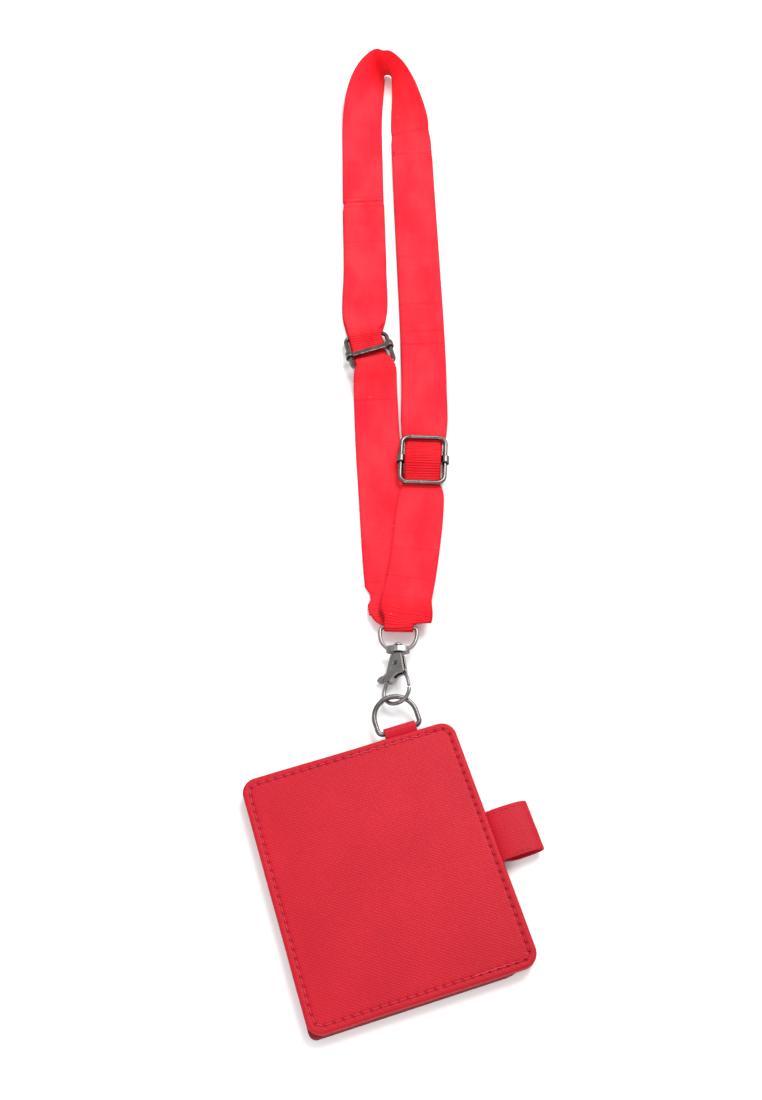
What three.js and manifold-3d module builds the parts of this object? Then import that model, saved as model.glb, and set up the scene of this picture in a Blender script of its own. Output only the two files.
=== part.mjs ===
// Lanyard badge holder: a stitched card holder hung by a D-ring, a swivel clasp and a neck strap.
// Millimetres, +Z up. The holder lies face down with the middle of its front face at the origin,
// its top edge towards +Y. The strap runs away from the ring, turned a little towards +X.
import * as THREE from 'three';
import { mergeVertices } from 'three/addons/utils/BufferGeometryUtils.js';
import Module from 'manifold-3d';

const wasm = await Module();
wasm.setup();

// ---- driving dimensions ----
const HOLDER = { width: 104, height: 120, corner: 7, rim: 5 };
const LAYER = {                      // [bottom, top] of each layer of the holder
  front: [0, 1.0], window: [1.05, 1.35], lining: [1.4, 3.4],
  foam: [3.5, 5.9], board: [6.0, 6.9], back: [3.5, 8.0], groove: [7.5, 8.5], thread: [7.6, 7.95],
};
const CARD = { width: 89, depth: 1.2 };          // inside of the two card pockets
const WINDOW = { halfWidth: 40, bottom: 7, top: 52 };
const RING = { wire: 1.2, arm: 10.3, straight: 6.6, x: 27.5, y: 63.5, lift: 5 };
const RING_BAR_Z = 5;                            // height of the ring's bar in its tab
const METAL_Z = 6.5;                             // height of the clasp's axis and the swivel loop
const TAB = { halfWidth: 7.75, leaf: 0.9 };
const LOOP = { halfWidth: 12, leaf: 0.9 };       // pen loop on the side
const STITCH = { inset: 3, width: 0.6, room: 0.2 }; // edge stitching in its groove
const STRAP_TURN = -15.5;                        // degrees from +Y to the strap's run
const WEB = 1.0;                                 // webbing thickness
const SLIDE = { wire: 1.25, rail: 11.8, corner: 4.2, gap: 0.6 };
const BAR = { halfWidth: 1.7, halfThick: 0.9, eye: 2.4, eyeHole: 1.55, eyeLength: 4.4 };
const RIGHT_SLIDE = { u: 20, v: 156, z: 5.0, turn: -5, tilt: 0, cross: 14.6, skew: 0 };
const LEFT_SLIDE = { u: -6.4, v: 232, z: 5.4, turn: 10, tilt: -12, cross: 13.75, skew: 9 };
const LOOP_BAR = { u: 3, v: 54.5, turn: -4 };    // middle of the swivel loop's straight bar
const CLASP_ROLL = -30;                          // the hook leans so that it links the flat ring
const PIN_Y = -20.3;                             // lever pin, measured from the loop's bar

// Neck strap: u, v, z, turn and bank of the width direction in degrees, width.
const NECK_ROUTE = [
  [22.9, 199, 1.75, 0, 0, 25], [22.2, 186, 1.75, -2, 0, 25], [21.4, 172, 1.75, -5, 0, 23.5],
  [21.1, 168.5, 1.85, -5, 0, 20], [20.6, 162.5, 4.2, -5, 0, 20], [20.2, 158.6, 6.3, -5, 0, 18.4],
  [20, 156, 6.65, -5, 0, 18.4], [19.87, 154.5, 6.65, -5, 0, 18.4], [19.78, 153.5, 5.9, -5, 0, 18.4],
  [19.76, 153.25, 5, -5, 0, 18.4], [19.78, 153.5, 4.1, -5, 0, 18.4], [19.87, 154.5, 3.35, -5, 0, 18.4],
  [20, 156, 3.35, -5, 0, 18.4], [20.2, 158.6, 2.95, -5, 0, 18.4],
  [20.6, 163, 1.5, -5, 0, 20], [21.1, 168.5, 0.6, -5, 0, 20], [21.9, 180, 0.5, -3, 0, 25],
  [23.3, 210, 0.5, -1, 0, 25], [24, 250, 0.5, 0, 0, 25], [24.2, 300, 0.5, 0, 0, 25],
  [24.3, 350, 0.5, 0, 0, 25], [24.6, 396, 0.6, 0, 0, 25], [24.4, 411, 3.4, -3, 16, 25],
  [22.8, 426, 8, -8, 37, 25], [20.4, 441, 11, -16, 56, 25], [17, 454, 12.4, -40, 70, 25],
  [12.8, 462.5, 12.9, -95, 75, 25], [8, 464, 12.6, -150, 72, 25], [3.4, 459, 11, -176, 57, 25],
  [-0.7, 451, 8.2, -182, 38, 25], [-3.8, 439, 4.4, -182, 18, 25], [-5.6, 422, 1.6, -181, 5, 25],
  [-6.4, 385, 0.6, -180, 0, 25],
  [-7, 343, 0.5, -180, 0, 25], [-7.2, 300, 0.5, -180, 0, 25], [-8.6, 260, 0.5, -176, 0, 25],
  [-8.65, 244.93, 0.55, -170, 0, 19.2], [-6.4, 232, 0.6, -170, 0, 19.2], [-5.52, 227.03, 1.5, -170, 0, 19.2],
  [-4.75, 222.65, 3.9, -170, 0, 18.8], [-4.15, 219.27, 6.2, -170, 0, 18.8], [-3.78, 217.28, 6.9, -170, 0, 18.8],
  [-3.69, 216.78, 8.3, -170, 0, 18.8], [-3.8, 217.38, 9.7, -170, 0, 18.8], [-4.07, 218.88, 10.3, -170, 0, 18.8],
  [-4.32, 220.27, 9.7, -170, 0, 18.8], [-4.67, 222.36, 7.2, -170, 0, 18.8], [-4.96, 223.95, 5.6, -170, 0, 19.2],
];

// Lower strap: from its free end above the left slide, round the swivel loop, to its free end
// above the right slide.
const LOWER_ROUTE = [
  [-6.6, 354, 1.75, 0, 0, 25], [-6.8, 330, 1.75, 0, 0, 25], [-7.2, 295, 1.75, 0, 0, 25],
  [-8.4, 260, 1.9, 4, 0, 25], [-9.31, 249.41, 3.6, 10, 0, 18.8], [-8.73, 245.22, 4.6, 10, 0, 18.8],
  [-8.26, 242.35, 3.5, 10, 0, 18.8], [-7.66, 239.36, 2.5, 10, 0, 18.8], [-6.4, 232, 2.4, 10, 0, 18.8],
  [-6.02, 229.81, 2.8, 10, 0, 18.8], [-5.52, 227.03, 4.6, 10, 0, 18.8], [-5.03, 224.25, 7.7, 10, 0, 20],
  [-4.59, 221.86, 10.4, 10, 0, 20], [-4.07, 218.78, 11.8, 10, 0, 20], [-3.51, 215.09, 10.2, 9, 0, 23.2],
  [-3.8, 210, 4.6, 5, 0, 24.2], [-3.9, 204, 1.3, 2, 0, 24.2], [-3.9, 195, 0.6, 0, 0, 24.2],
  [-3.7, 170, 0.5, 0, 0, 24.2], [-2.4, 135, 0.5, 0, 0, 25], [-1.5, 100, 0.5, 0, 0, 25],
  [-0.6, 82, 0.8, -1, 0, 25], [0.6, 70, 1.9, -2, 0, 25], [1.9, 62, 3.6, -4, 0, 22],
  [2.6, 57.8, 4.5, -4, 0, 16], [3, 54.5, 4.7, -4, 0, 14.4], [2.91, 53.2, 5.23, -4, 0, 14.4],
  [2.87, 52.7, 6.5, -4, 0, 14.4], [2.91, 53.2, 7.77, -4, 0, 14.4], [3, 54.5, 8.3, -4, 0, 14.4],
  [3.7, 57.8, 8.2, -4, 0, 16], [5, 62, 7.5, -4, 0, 22], [7.2, 70, 5.3, -5, 0, 25],
  [9.9, 82, 3.0, -6, 0, 25], [13.2, 100, 1.9, -6, 0, 25], [16.8, 125, 1.9, -5, 0, 25],
  [18.3, 136.5, 2.5, -5, 0, 23.4], [18.8, 142.3, 2.8, -5, 0, 19.4], [19.1, 145.4, 3.4, -5, 0, 19.4],
  [19.5, 150.4, 6.1, -5, 0, 19.4], [19.75, 153.1, 7.6, -5, 0, 19.4], [20, 156, 8.0, -5, 0, 19.4],
  [20.24, 158.8, 7.6, -5, 0, 19.4], [20.6, 162.7, 5.8, -5, 0, 19.4], [21.05, 168.3, 3.15, -5, 0, 19.4],
  [21.4, 171.5, 3.0, -5, 0, 23], [22.2, 186, 3.0, -3, 0, 25], [23, 203, 3.0, -1, 0, 25],
  [23.6, 216, 1.9, 0, 0, 25], [24.2, 250, 1.75, 0, 0, 25], [24.4, 300, 1.75, 0, 0, 25],
  [24.5, 350, 1.75, 0, 0, 25], [24.6, 376, 1.9, 0, 0, 25], [24.8, 394, 2.1, 0, 0, 25],
];

const rad = THREE.MathUtils.degToRad;

// ---- materials ----
const leather = (shade) => new THREE.MeshStandardMaterial({ color: shade, roughness: 0.62 });
const metal = (shade) => new THREE.MeshStandardMaterial({ color: shade, roughness: 0.3, metalness: 1 });
const cloth = (shade) => new THREE.MeshStandardMaterial({ color: shade, roughness: 0.9 });

// ---- geometry helpers ----
const vec = (x, y, z = 0) => new THREE.Vector3(x, y, z);

function toSolid(geometry) {
  const bare = geometry.index ? geometry.toNonIndexed() : geometry.clone();
  bare.deleteAttribute('normal');
  bare.deleteAttribute('uv');
  const merged = mergeVertices(bare, 1e-4);
  return new wasm.Manifold(new wasm.Mesh({
    numProp: 3,
    vertProperties: new Float32Array(merged.attributes.position.array),
    triVerts: new Uint32Array(merged.index.array),
  }));
}

function fromSolid(solid) {
  const mesh = solid.getMesh();
  const geometry = new THREE.BufferGeometry();
  geometry.setAttribute('position', new THREE.BufferAttribute(mesh.vertProperties, 3));
  geometry.setIndex(new THREE.BufferAttribute(mesh.triVerts, 1));
  return geometry;
}

const join = (...parts) => fromSolid(parts.map(toSolid).reduce((whole, part) => whole.add(part)));

const cut = (base, ...tools) => fromSolid(
  tools.map(toSolid).reduce((whole, tool) => whole.subtract(tool), toSolid(base)));

function box(x0, x1, y0, y1, z0, z1) {
  return new THREE.BoxGeometry(x1 - x0, y1 - y0, z1 - z0)
    .translate((x0 + x1) / 2, (y0 + y1) / 2, (z0 + z1) / 2);
}

function roundedRectangle(halfWidth, bottom, top, corners) {
  const [r0, r1, r2, r3] = corners;              // lower left, lower right, upper right, upper left
  const shape = new THREE.Shape();
  shape.moveTo(-halfWidth + r0, bottom);
  shape.lineTo(halfWidth - r1, bottom);
  shape.absarc(halfWidth - r1, bottom + r1, r1, -Math.PI / 2, 0);
  shape.absarc(halfWidth - r2, top - r2, r2, 0, Math.PI / 2);
  shape.absarc(-halfWidth + r3, top - r3, r3, Math.PI / 2, Math.PI);
  shape.absarc(-halfWidth + r0, bottom + r0, r0, Math.PI, 1.5 * Math.PI);
  return shape;
}

function plate(shape, [bottom, top], curveSegments = 6) {
  return new THREE.ExtrudeGeometry(shape, { depth: top - bottom, bevelEnabled: false, curveSegments })
    .translate(0, 0, bottom);
}

function circle(radius) {
  return new THREE.Shape().absarc(0, 0, radius, 0, 2 * Math.PI);
}

// A round wire through points.
function wire(points, radius, steps, sides = 8) {
  return new THREE.ExtrudeGeometry(circle(radius), {
    extrudePath: new THREE.CatmullRomCurve3(points, false, 'centripetal'),
    steps, bevelEnabled: false, curveSegments: sides / 2,
  });
}

// A solid of revolution about Y.
function turned(profile, segments = 16) {
  return new THREE.LatheGeometry(profile.map(([r, y]) => new THREE.Vector2(r, y)), segments);
}

// A cylinder with its axis along Z, centred on x, y.
function pinHole(radius, x, y, height, segments = 16) {
  return new THREE.CylinderGeometry(radius, radius, height, segments).rotateX(Math.PI / 2).translate(x, y, 0);
}

function arcPoints(cx, cy, radius, from, to, count) {
  return Array.from({ length: count }, (_, i) => {
    const a = rad(from + ((to - from) * i) / (count - 1));
    return vec(cx + radius * Math.cos(a), cy + radius * Math.sin(a));
  });
}

// A flat strap along a route, with its width direction turned and banked along the way.
function ribbon(route, perLeg = 2) {
  const centres = new THREE.CatmullRomCurve3(route.map(([u, v, z]) => vec(u, v, z)), false, 'centripetal');
  const frames = new THREE.CatmullRomCurve3(route.map(([, , , turn, bank, width]) => vec(turn, bank, width)));
  const steps = (route.length - 1) * perLeg;
  const positions = [];
  for (let i = 0; i <= steps; i++) {
    const t = i / steps;
    const centre = centres.getPoint(t);
    const tangent = centres.getTangent(t);
    const { x: turn, y: bank, z: width } = frames.getPoint(t);
    centre.z = Math.max(centre.z, WEB / 2 + (Math.abs(Math.sin(rad(bank))) * width) / 2);
    const across = vec(Math.cos(rad(turn)), Math.sin(rad(turn)))
      .multiplyScalar(Math.cos(rad(bank))).setZ(Math.sin(rad(bank)));
    const normal = tangent.clone().cross(across).normalize();
    const side = normal.clone().cross(tangent).normalize();
    for (const [a, b] of [[-1, -1], [1, -1], [1, 1], [-1, 1]]) {
      positions.push(...centre.clone().addScaledVector(side, (a * width) / 2)
        .addScaledVector(normal, (b * WEB) / 2).toArray());
    }
  }
  const index = [0, 2, 1, 0, 3, 2];
  for (let i = 0; i < steps; i++) {
    for (let k = 0; k < 4; k++) {
      const [a, b] = [4 * i + k, 4 * i + ((k + 1) % 4)];
      index.push(a, b, a + 4, b, b + 4, a + 4);
    }
  }
  const last = 4 * steps;
  index.push(last, last + 1, last + 2, last, last + 2, last + 3);
  const geometry = new THREE.BufferGeometry();
  geometry.setAttribute('position', new THREE.Float32BufferAttribute(positions, 3));
  geometry.setIndex(index);
  return outward(geometry);
}

// Turns a closed geometry's faces outward if its volume comes out negative.
function outward(geometry) {
  const p = geometry.attributes.position;
  const index = geometry.index.array;
  let volume = 0;
  for (let i = 0; i < index.length; i += 3) {
    const [a, b, c] = [0, 1, 2].map((k) => new THREE.Vector3().fromBufferAttribute(p, index[i + k]));
    volume += a.dot(b.cross(c));
  }
  if (volume < 0) {
    for (let i = 0; i < index.length; i += 3) [index[i], index[i + 1]] = [index[i + 1], index[i]];
  }
  return geometry;
}

// The outline of a band of even thickness that follows points in a plane.
function bandShape(points, thickness, divisions) {
  const curve = new THREE.SplineCurve(points.map(([x, y]) => new THREE.Vector2(x, y)));
  const near = [];
  const far = [];
  for (let i = 0; i <= divisions; i++) {
    const p = curve.getPoint(i / divisions);
    const t = curve.getTangent(i / divisions);
    near.push(new THREE.Vector2(p.x - (t.y * thickness) / 2, p.y + (t.x * thickness) / 2));
    far.push(new THREE.Vector2(p.x + (t.y * thickness) / 2, p.y - (t.x * thickness) / 2));
  }
  return new THREE.Shape([...near, ...far.reverse()]);
}

function mesh(name, geometry, material, parent) {
  const piece = new THREE.Mesh(geometry, material);
  piece.name = name;
  parent.add(piece);
  return piece;
}

// ---- holder ----
const outline = (inset = 0, corners = [1, 1, 1, 1]) => roundedRectangle(
  HOLDER.width / 2 - inset, -HOLDER.height / 2 + inset, HOLDER.height / 2 - inset,
  corners.map((c) => c * HOLDER.corner - inset));

function frontFrame() {
  const shape = outline(0, [0.5, 2.3, 1, 1]);
  shape.holes.push(roundedRectangle(WINDOW.halfWidth, WINDOW.bottom, WINDOW.top, [4, 4, 4, 4]));
  const slit = roundedRectangle(CARD.width / 2 - 1, -8.6, -7, [0.7, 0.7, 0.7, 0.7]);
  shape.holes.push(slit);
  return plate(shape, LAYER.front, 4);
}

function pocketLining() {
  const [bottom] = LAYER.lining;
  const half = CARD.width / 2;
  const over = 1;
  return cut(plate(outline(0, [0.5, 2.3, 1, 1]), LAYER.lining),
    box(-half, half, 3, HOLDER.height / 2 + over, bottom - over, bottom + CARD.depth),
    box(-half, half, -HOLDER.height / 2 + HOLDER.rim, -3, bottom - over, bottom + CARD.depth));
}

function backPanel() {
  const [bottom] = LAYER.back;
  const half = HOLDER.width / 2;
  const top = HOLDER.height / 2;
  const cavity = plate(outline(HOLDER.rim), [bottom - 1, LAYER.board[1] + 0.1]);
  const tabNotch = box(RING.x - TAB.halfWidth - 0.3, RING.x + TAB.halfWidth + 0.3,
    top - HOLDER.rim - 1, top + 1, bottom - 1, 6.1);
  const loopNotch = box(half - HOLDER.rim - 1, half + 1, -LOOP.halfWidth - 0.3, LOOP.halfWidth + 0.3,
    bottom - 1, 6.2);
  const groove = outline(STITCH.inset - STITCH.room);
  groove.holes.push(outline(STITCH.inset + STITCH.width + STITCH.room));
  return cut(plate(outline(), LAYER.back), cavity, tabNotch, loopNotch, plate(groove, LAYER.groove));
}

function ringTab() {
  const { y } = RING;
  const inner = HOLDER.height / 2 - HOLDER.rim + 0.3;
  const mid = RING_BAR_Z;
  const shape = new THREE.Shape();
  shape.moveTo(inner, mid - TAB.leaf);
  shape.lineTo(y - 3.3, mid - TAB.leaf - 0.1);
  shape.quadraticCurveTo(y - 2, mid - 2.3, y - 0.3, mid - 2.4);
  shape.absarc(y, mid, 2.4, -Math.PI / 2, Math.PI / 2);
  shape.quadraticCurveTo(y - 2, mid + 2.3, y - 3.3, mid + TAB.leaf + 0.1);
  shape.lineTo(inner, mid + TAB.leaf);
  shape.holes.push(new THREE.Path().absarc(y, mid, 1.5, 0, 2 * Math.PI));
  return new THREE.ExtrudeGeometry(shape, {
    depth: 2 * TAB.halfWidth, bevelEnabled: false, curveSegments: 8,
  }).rotateX(Math.PI / 2).rotateZ(Math.PI / 2).translate(RING.x - TAB.halfWidth, 0, 0);
}

const LOOP_PATH = [
  [47.6, 5.5], [51.5, 5.6], [55, 6.7], [61, 7.25], [67.5, 6.9], [71, 5.3], [71.6, 4],
  [70.8, 2.6], [67, 1.3], [61, 0.75], [57, 1.4], [54.4, 3.1], [52.2, 4.1], [47.6, 4.1],
];

// Extrudes a section in X and Z along Y.
function alongY(shape, y0, y1) {
  return new THREE.ExtrudeGeometry(shape, { depth: y1 - y0, bevelEnabled: false, curveSegments: 6 })
    .rotateX(Math.PI / 2).translate(0, y1, 0);
}

function penLoop() {
  return alongY(bandShape(LOOP_PATH, LOOP.leaf, 52), -LOOP.halfWidth, LOOP.halfWidth);
}

function loopThread(y) {
  const rise = LOOP.leaf / 2 + 0.25;
  const top = LOOP_PATH.slice(2, 5).map(([x, z]) => [x, z + rise]);
  return alongY(bandShape(top, 0.3, 8), y - 0.3, y + 0.3);
}

function edgeThread() {
  const shape = outline(STITCH.inset);
  shape.holes.push(outline(STITCH.inset + STITCH.width));
  return plate(shape, LAYER.thread);
}

function holder() {
  const group = new THREE.Group();
  mesh('front_frame', frontFrame(), leather('#b8202f'), group);
  mesh('window_sheet', plate(roundedRectangle(47, 3.5, 57, [2, 2, 2, 2]), LAYER.window),
    new THREE.MeshStandardMaterial({ color: '#e8eef0', roughness: 0.1 }), group);
  mesh('pocket_lining', pocketLining(), cloth('#7c1420'), group);
  mesh('foam_sheet', plate(outline(HOLDER.rim + 1.3), LAYER.foam), cloth('#e9e4d8'), group);
  mesh('stiffener_board', plate(outline(HOLDER.rim + 0.4), LAYER.board), cloth('#8c8377'), group);
  mesh('back_panel', backPanel(), leather('#c8253a'), group);
  mesh('edge_thread', edgeThread(), cloth('#a01528'), group);
  mesh('ring_tab', ringTab(), leather('#c8253a'), group);
  mesh('pen_loop', penLoop(), leather('#c02338'), group);
  for (const [name, y] of [['loop_thread_top', 10.4], ['loop_thread_bottom', -10.4]]) {
    mesh(name, loopThread(y), cloth('#a01528'), group);
  }
  return group;
}

// ---- ring on the holder ----
function holderRing() {
  const { arm, straight, wire: radius } = RING;
  const corner = 2.4;
  const half = [
    vec(0, 0), vec(4, 0), ...arcPoints(arm - corner, corner, corner, -90, 0, 4), vec(arm, 4.6),
    ...arcPoints(0, straight, arm, 0, 90, 7),
  ];
  const left = half.slice(1, -1).reverse().map((p) => vec(-p.x, p.y));
  return wire([...half, ...left, vec(-0.5, 0)], radius, 48);
}

// ---- slides ----
function slideFrame(cross) {
  const { rail, corner, gap } = SLIDE;
  const side = [
    vec(gap / 2, -cross), vec(5, -cross), ...arcPoints(rail - corner, corner - cross, corner, -90, 0, 4),
    vec(rail, 0), ...arcPoints(rail - corner, cross - corner, corner, 0, 90, 4), vec(4, cross),
  ];
  const other = side.slice().reverse().map((p) => vec(-p.x, p.y));
  return wire([...side, ...other], SLIDE.wire, 60);
}

function slideBar(skew) {
  const { halfWidth, halfThick, eye, eyeHole, eyeLength } = BAR;
  const { rail } = SLIDE;
  const eyes = [-rail, rail].map((x) => new THREE.CylinderGeometry(eye, eye, eyeLength, 14).translate(x, 0, 0));
  const holes = [-rail, rail].map((x) => new THREE.CylinderGeometry(eyeHole, eyeHole, 9, 14).translate(x, 0, 0));
  const flat = box(-rail, rail, -halfWidth, halfWidth, -halfThick, halfThick);
  const bar = cut(join(flat, ...eyes), ...holes);
  return bar.applyMatrix4(new THREE.Matrix4().makeShear(Math.tan(rad(skew)), 0, 0, 0, 0, 0));
}

function placeSlide({ u, v, z, turn, tilt }, parent) {
  const heading = new THREE.Group();
  heading.position.set(u, v, z);
  heading.rotation.z = rad(turn);
  const leaning = new THREE.Group();
  leaning.rotation.x = rad(tilt);
  heading.add(leaning);
  parent.add(heading);
  return leaning;
}

// ---- swivel loop and clasp, measured from the middle of the loop's straight bar ----
function swivelLoop() {
  const arm = 9.1;
  const side = [vec(0, 0), vec(7.2, 0), vec(8.55, -0.55), vec(arm, -1.9), vec(8.9, -6), vec(7.5, -9.6), vec(4.6, -12.4)];
  const path = [...side.slice().reverse().map((p) => vec(-p.x, p.y)), ...side.slice(1)];
  const boss = new THREE.Shape().absellipse(0, 0, 5.9, 2.6, 0, 2 * Math.PI);
  boss.holes.push(new THREE.Path().absarc(0, 0, 1.5, 0, 2 * Math.PI));
  const lug = new THREE.ExtrudeGeometry(boss, { depth: 3.2, bevelEnabled: false, curveSegments: 10 })
    .rotateX(Math.PI / 2).translate(0, -10.9, 0);
  const post = new THREE.CylinderGeometry(1.5, 1.5, 6, 20).translate(0, -12.5, 0);
  return cut(join(wire(path, 1.05, 36), lug), post);
}

function swivelRivet() {
  return turned([[0, -16.2], [1.2, -16.2], [1.2, -10.5], [2.3, -10.5], [2.3, -9.9], [1.6, -9.1], [0, -8.9]]);
}

const HOOK_PATH = [
  [-4.3, -27], [-5.7, -29.8], [-6.9, -33.3], [-6.9, -36.4], [-5.2, -39.2], [-2.6, -40.8], [0, -41.2],
  [2.6, -40.8], [5.2, -39.2], [6.8, -36.6], [7.1, -34.2],
];

function claspBody() {
  const cheek = new THREE.Shape();
  cheek.moveTo(-2.9, -15.5);
  cheek.lineTo(2.9, -15.5);
  cheek.lineTo(4.7, -24.6);
  cheek.quadraticCurveTo(4.9, -26.2, 3.4, -25.9);
  cheek.quadraticCurveTo(-0.6, -25.6, -3.0, -29.6);
  cheek.lineTo(-6.1, -29.2);
  cheek.lineTo(-4.9, -24.4);
  const block = new THREE.ExtrudeGeometry(cheek, { depth: 4.6, bevelEnabled: false, curveSegments: 6 })
    .translate(0, 0, -2.3);
  const slot = box(-8, 8, -27.4, -16.4, -0.95, 0.95);
  const collar = turned([[0, -16], [2.5, -16], [2.5, -15.2], [1.9, -15.0], [1.9, -14.5], [0, -14.5]]);
  const hook = wire(HOOK_PATH.map(([x, y]) => vec(x, y)), 1.05, 26);
  const rivetHole = new THREE.CylinderGeometry(1.5, 1.5, 4, 16).translate(0, -14.5, 0);
  const rivetRoom = new THREE.CylinderGeometry(1.5, 1.5, 1.2, 16).translate(0, -16, 0);
  return cut(join(cut(block, slot), collar, hook), rivetHole, rivetRoom, pinHole(1.1, 0, PIN_Y, 8));
}

function claspLever() {
  const flat = new THREE.Shape();
  flat.absarc(0, PIN_Y, 2.0, rad(-60), rad(205));
  flat.lineTo(-8.2, -25.6);
  flat.lineTo(-8.0, -28.1);
  flat.lineTo(-1.6, -23.6);
  flat.lineTo(1.6, -22.6);
  flat.lineTo(4.2, -27.6);
  flat.lineTo(6.3, -27.4);
  flat.lineTo(4.4, -23.6);
  flat.lineTo(1.9, -20.8);
  const leaf = new THREE.ExtrudeGeometry(flat, { depth: 1.3, bevelEnabled: false, curveSegments: 8 })
    .translate(0, 0, -0.65);
  const gate = wire([vec(5.1, -27.1), vec(6.1, -29.6), vec(6.95, -33.2)], 0.95, 6);
  const thumb = new THREE.CylinderGeometry(1.5, 1.5, 2.6, 14).rotateX(Math.PI / 2)
    .scale(1.45, 0.95, 1).rotateZ(rad(25)).translate(-8.6, -27, 0);
  return cut(join(leaf, gate, thumb), pinHole(1.1, 0, PIN_Y, 8));
}

function leverPin() {
  const reach = 2.45;
  return turned([[0, -reach], [0.8, -reach], [0.8, reach], [0.45, reach], [0.3, reach - 0.5], [0, reach - 0.5]], 14)
    .rotateX(Math.PI / 2).translate(0, PIN_Y, 0);
}

function leverSpring() {
  const turns = 5;
  const perTurn = 8;
  const points = Array.from({ length: turns * perTurn + 1 }, (_, i) => {
    const a = (2 * Math.PI * i) / perTurn;
    return vec(-1.8 + (3.6 * i) / (turns * perTurn), 0.5 * Math.cos(a), 0.5 * Math.sin(a));
  });
  return wire(points, 0.14, turns * perTurn, 6).translate(0, -17.35, 0);
}

// ---- lanyard and hardware, in the strap's own frame ----
function lanyard() {
  const group = new THREE.Group();
  group.position.set(26, 63.5, 0);
  group.rotation.z = rad(STRAP_TURN);
  mesh('neck_webbing', ribbon(NECK_ROUTE), cloth('#ff3b46'), group);
  mesh('lower_webbing', ribbon(LOWER_ROUTE), cloth('#ff3b46'), group);
  for (const [side, place] of [['right', RIGHT_SLIDE], ['left', LEFT_SLIDE]]) {
    const slide = placeSlide(place, group);
    mesh(`${side}_slide_frame`, slideFrame(place.cross), metal('#77716f'), slide);
    mesh(`${side}_slide_bar`, slideBar(place.skew), metal('#6b6664'), slide);
  }
  const hardware = new THREE.Group();
  hardware.position.set(LOOP_BAR.u, LOOP_BAR.v, METAL_Z);
  hardware.rotation.z = rad(LOOP_BAR.turn);
  group.add(hardware);
  mesh('swivel_loop', swivelLoop(), metal('#7c7775'), hardware);
  const clasp = new THREE.Group();
  clasp.rotation.y = rad(CLASP_ROLL);
  hardware.add(clasp);
  mesh('swivel_rivet', swivelRivet(), metal('#8a8583'), clasp);
  mesh('clasp_body', claspBody(), metal('#7c7775'), clasp);
  mesh('clasp_lever', claspLever(), metal('#736e6c'), clasp);
  mesh('lever_pin', leverPin(), metal('#6b6664'), clasp);
  mesh('lever_spring', leverSpring(), metal('#9a9694'), clasp);
  return group;
}

const badgeHolder = new THREE.Group();
badgeHolder.add(holder(), lanyard());
const ring = mesh('holder_ring', holderRing(), metal('#77716f'), badgeHolder);
ring.position.set(RING.x, RING.y, RING_BAR_Z);
ring.rotation.x = rad(RING.lift);

export default badgeHolder;
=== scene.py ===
import math

import bmesh
import bpy
import numpy as np
from mathutils import Matrix, Vector
from mathutils import noise as mnoise


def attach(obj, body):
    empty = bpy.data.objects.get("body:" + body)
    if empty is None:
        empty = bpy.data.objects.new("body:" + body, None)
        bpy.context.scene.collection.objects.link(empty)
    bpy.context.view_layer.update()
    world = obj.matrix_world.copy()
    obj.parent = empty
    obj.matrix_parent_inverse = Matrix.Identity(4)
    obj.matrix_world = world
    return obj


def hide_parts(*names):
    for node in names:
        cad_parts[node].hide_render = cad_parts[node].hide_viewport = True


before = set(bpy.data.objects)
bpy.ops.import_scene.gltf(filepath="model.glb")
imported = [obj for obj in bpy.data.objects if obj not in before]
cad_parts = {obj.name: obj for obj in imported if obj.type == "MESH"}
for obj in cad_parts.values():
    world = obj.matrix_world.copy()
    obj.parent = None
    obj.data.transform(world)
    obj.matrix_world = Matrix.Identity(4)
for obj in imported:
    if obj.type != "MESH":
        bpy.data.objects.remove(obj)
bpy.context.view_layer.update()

# Lanyard badge holder. Metres, +Z up. The holder lies face down with its top edge towards +Y, and
# the strap runs away from it, turned 15.5 degrees towards +X.

MM = 0.001

# ---- camera ----
CAMERA_AT = Vector((-0.0481, -0.1883, 0.604))
LOOKS_AT = Vector((0.0483, 0.1598, 0.008))
CAMERA_ROLL = math.radians(-2.24)


def add_camera():
    data = bpy.data.cameras.new("camera")
    data.sensor_fit = "VERTICAL"
    data.sensor_height = 36
    data.lens = 44.64
    camera = bpy.data.objects.new("camera", data)
    bpy.context.scene.collection.objects.link(camera)
    aim = (LOOKS_AT - CAMERA_AT).to_track_quat("-Z", "Y").to_matrix().to_4x4()
    camera.matrix_world = Matrix.Translation(CAMERA_AT) @ aim @ Matrix.Rotation(CAMERA_ROLL, 4, "Z")
    bpy.context.scene.camera = camera


add_camera()

# ---- the straps' own frame: u across, v along, from the ring's tab ----
STRAP_ORIGIN = Vector((0.026, 0.0635, 0))
STRAP_TURN = math.radians(-15.5)
STRAP = Matrix.Translation(STRAP_ORIGIN) @ Matrix.Rotation(STRAP_TURN, 4, "Z")

WEB = 1.0 * MM                    # webbing thickness
RIB = 0.95 * MM                   # distance from one rib of the weave to the next
YARN = 1.05 * MM                  # width of a pair of yarns across the strap
CORD = 1.4 * MM                   # distance between the cords that show where the strap is bent

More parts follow.
